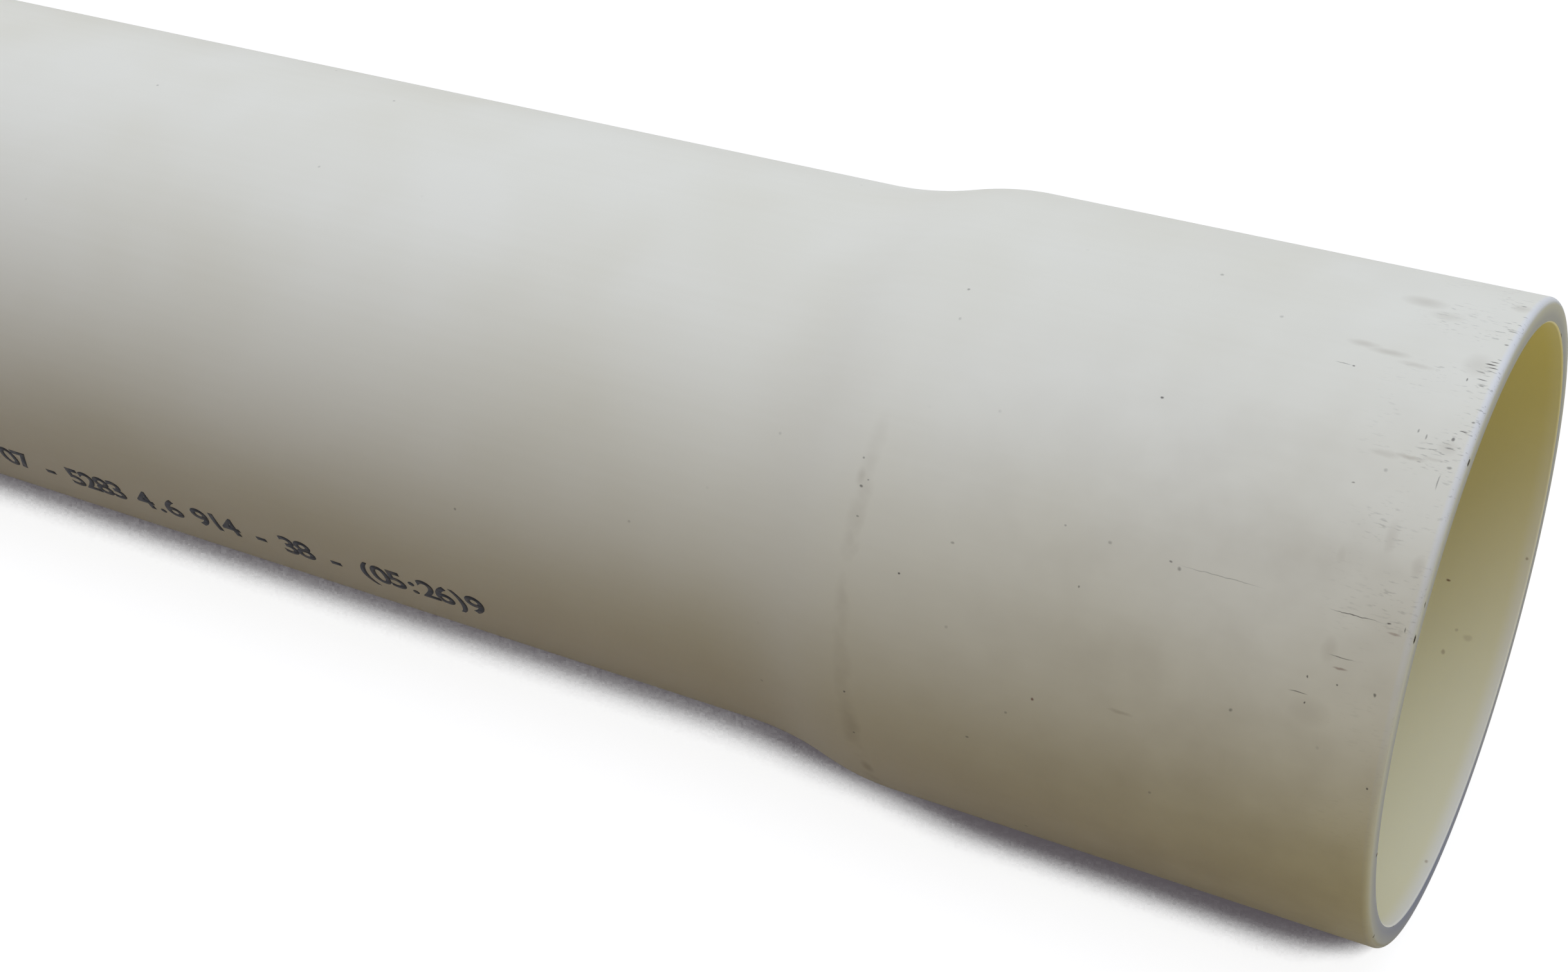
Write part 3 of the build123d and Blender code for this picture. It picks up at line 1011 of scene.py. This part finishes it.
class PIPE_OT_print_figures(bpy.types.Operator):
    """Prints the line of plain figures on the barrel as a thin film of ink"""

    bl_idname = "pipe.print_figures"
    bl_label = "Print the figures"

    def execute(self, context):
        scene = context.scene
        ink = type_figures(scene.pipe_ink)
        ink.name = "ink_figures"
        ink.data.name = "ink_figures"
        ink.data.materials.append(jet_ink(scene.pipe_colours, scene.pipe_ink))
        lay_film(ink, scene.pipe_ink, scene.pipe_sizes.barrel_radius)
        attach(ink, "root")
        return {"FINISHED"}


def seen_directly(tree):
    """A socket that is 1 for what is seen, straight, in gloss or through glass, and 0 for lighting."""
    path = add_node(tree, "LightPath")
    seen = path.outputs["Is Camera Ray"]
    for kind in ("Is Glossy Ray", "Is Transmission Ray"):
        seen = add_node(tree, "Math", {0: seen, 1: path.outputs[kind]}, operation="MAXIMUM").outputs[0]
    return seen


def paper_floor(studio):
    """White paper to the eye, with a painted contact shadow under the pipe and a share of the lamps' own
    shadow, which lights the pipe like a dark warm floor.
    """
    material, tree, output = new_material("matt paper")
    material.cycles.emission_sampling = "NONE"
    # Painted shadow: the camera sees the paper as white light, darkened towards a grey where the pipe hides
    # the open sky within a short reach
    corner = add_node(tree, "AmbientOcclusion", {"Distance": studio.contact_reach},
                      samples=studio.contact_samples)
    full, ends = studio.contact_open
    opened = add_node(tree, "MapRange", {
        "Value": corner.outputs["AO"], "From Min": full, "From Max": ends,
    }, interpolation_type="SMOOTHSTEP")
    tone = add_node(tree, "Mix", {
        0: opened.outputs[0], 6: (*studio.painted_shadow_grey, 1), 7: (1, 1, 1, 1)}, data_type="RGBA")
    white = add_node(tree, "Emission", {"Color": tone.outputs[2], "Strength": 1.0})
    straight = add_node(tree, "LightPath").outputs["Is Camera Ray"]
    brightness = add_node(tree, "Mix", {
        0: straight, 6: (*studio.paper, 1), 7: (*studio.lit_paper, 1)}, data_type="RGBA")
    lit = add_node(tree, "BsdfDiffuse", {"Color": brightness.outputs[2]})
    shadow = add_node(tree, "MapRange", {"Value": straight, "To Min": 1.0, "To Max": studio.shadow_share})
    paper = add_node(tree, "MixShader", {0: shadow.outputs[0], 1: white.outputs[0], 2: lit.outputs[0]})
    place = add_node(tree, "SeparateXYZ", {0: add_node(tree, "TexCoord").outputs["Object"]})
    before = add_node(tree, "MapRange", {
        "Value": place.outputs["X"], "From Min": MOUTH_X, "From Max": MOUTH_X + studio.mouth_reach})
    warm = add_node(tree, "Mix", {
        0: before.outputs[0], 6: (*studio.floor_bounce, 1), 7: (*studio.mouth_bounce, 1)}, data_type="RGBA")
    bounce = add_node(tree, "BsdfDiffuse", {"Color": warm.outputs[2]})
    mixed = add_node(tree, "MixShader", {0: seen_directly(tree), 1: bounce.outputs[0], 2: paper.outputs[0]})
    tree.links.new(mixed.outputs[0], output.inputs["Surface"])
    return material


def soft_sky(studio):
    """Soft light that is strongest overhead, behind a white backdrop."""
    world = bpy.data.worlds.new("soft sky")
    world.use_nodes = True
    tree = world.node_tree
    tree.nodes.clear()
    output = add_node(tree, "OutputWorld")
    towards = add_node(tree, "TexCoord").outputs["Generated"]
    height = add_node(tree, "SeparateXYZ", {0: towards}).outputs["Z"]
    strength = add_node(tree, "MapRange", {"Value": height, "To Max": studio.sky_strength})
    sky = add_node(tree, "Background", {"Color": (*studio.sky_colour, 1), "Strength": strength.outputs[0]})
    white = add_node(tree, "Background", {"Color": (1, 1, 1, 1), "Strength": 1.0})
    mixed = add_node(tree, "MixShader", {0: seen_directly(tree), 1: sky.outputs[0], 2: white.outputs[0]})
    tree.links.new(mixed.outputs[0], output.inputs["Surface"])
    return world


def hang_lamp(name, place, turn, size, power, colour):
    """Hangs a flat lamp, which shines straight out from its face."""
    bpy.ops.object.light_add(type="AREA", location=place, rotation=turn)
    lamp = bpy.context.object
    lamp.name = name
    lamp.data.shape = "RECTANGLE"
    lamp.data.size, lamp.data.size_y = size
    lamp.data.energy = power
    lamp.data.color = colour


class PIPE_OT_set_studio(bpy.types.Operator):
    """Lays the floor, hangs the lights and stands the camera where the photograph was taken"""

    bl_idname = "pipe.set_studio"
    bl_label = "Set the studio"

    def execute(self, context):
        scene = context.scene
        studio = scene.pipe_studio
        bpy.ops.object.select_all(action="DESELECT")
        bpy.ops.mesh.primitive_plane_add(size=studio.floor_size, location=(0, 0, 0))
        floor = context.object
        floor.name = "floor"
        floor.data.materials.append(paper_floor(studio))
        scene.world = soft_sky(studio)

        middle = Vector((MOUTH_X - studio.key_behind_mouth, 0, AXIS_HEIGHT))
        overhead = Vector((0, -math.sin(studio.key_lean), math.cos(studio.key_lean)))
        hang_lamp("softbox", middle + studio.key_height * overhead, (-studio.key_lean, 0, 0),
                  studio.key_size, studio.key_power, studio.key_colour)

        mouth = Vector((MOUTH_X, 0, AXIS_HEIGHT))
        level = math.cos(studio.fill_rise)
        ahead = Vector((level * math.cos(studio.fill_turn), level * math.sin(studio.fill_turn),
                        math.sin(studio.fill_rise)))
        hang_lamp("mouth_fill", mouth + studio.fill_distance * ahead,
                  (math.pi / 2 - studio.fill_rise, 0, math.pi / 2 + studio.fill_turn),
                  (studio.fill_size, studio.fill_size), studio.fill_power, studio.fill_colour)

        bpy.ops.object.camera_add(
            location=studio.camera_place,
            rotation=(math.pi / 2 - studio.camera_tilt, 0, studio.camera_turn))
        camera = context.object
        camera.name = "camera"
        camera.data.sensor_width = studio.sensor_width
        camera.data.sensor_fit = "HORIZONTAL"
        camera.data.lens = studio.lens
        camera.data.clip_start = studio.clip_start
        scene.camera = camera
        scene.view_settings.view_transform = "Standard"
        return {"FINISHED"}


class PIPE_PT_maker(bpy.types.Panel):
    """Lists the steps that make the pipe and its studio"""

    bl_label = "PVC pressure pipe"
    bl_idname = "PIPE_PT_maker"
    bl_space_type = "VIEW_3D"
    bl_region_type = "UI"
    bl_category = "Pipe"

    def draw(self, context):
        for step in STEPS:
            self.layout.operator(step.bl_idname)


SETTINGS = {
    "pipe_sizes": PipeSizes,
    "pipe_colours": PipeColours,
    "pipe_wear": PipeWear,
    "pipe_ink": InkLine,
    "pipe_studio": Studio,
}
STEPS = (PIPE_OT_turn, PIPE_OT_print_figures, PIPE_OT_set_studio)


def register():
    for group in SETTINGS.values():
        bpy.utils.register_class(group)
    for name, group in SETTINGS.items():
        setattr(bpy.types.Scene, name, bpy.props.PointerProperty(type=group))
    for step in STEPS:
        bpy.utils.register_class(step)
    bpy.utils.register_class(PIPE_PT_maker)


def unregister():
    bpy.utils.unregister_class(PIPE_PT_maker)
    for step in reversed(STEPS):
        bpy.utils.unregister_class(step)
    for name, group in reversed(SETTINGS.items()):
        delattr(bpy.types.Scene, name)
        bpy.utils.unregister_class(group)


def main():
    register()
    bpy.ops.pipe.turn()
    bpy.ops.pipe.print_figures()
    bpy.ops.pipe.set_studio()


if __name__ == "__main__":
    main()
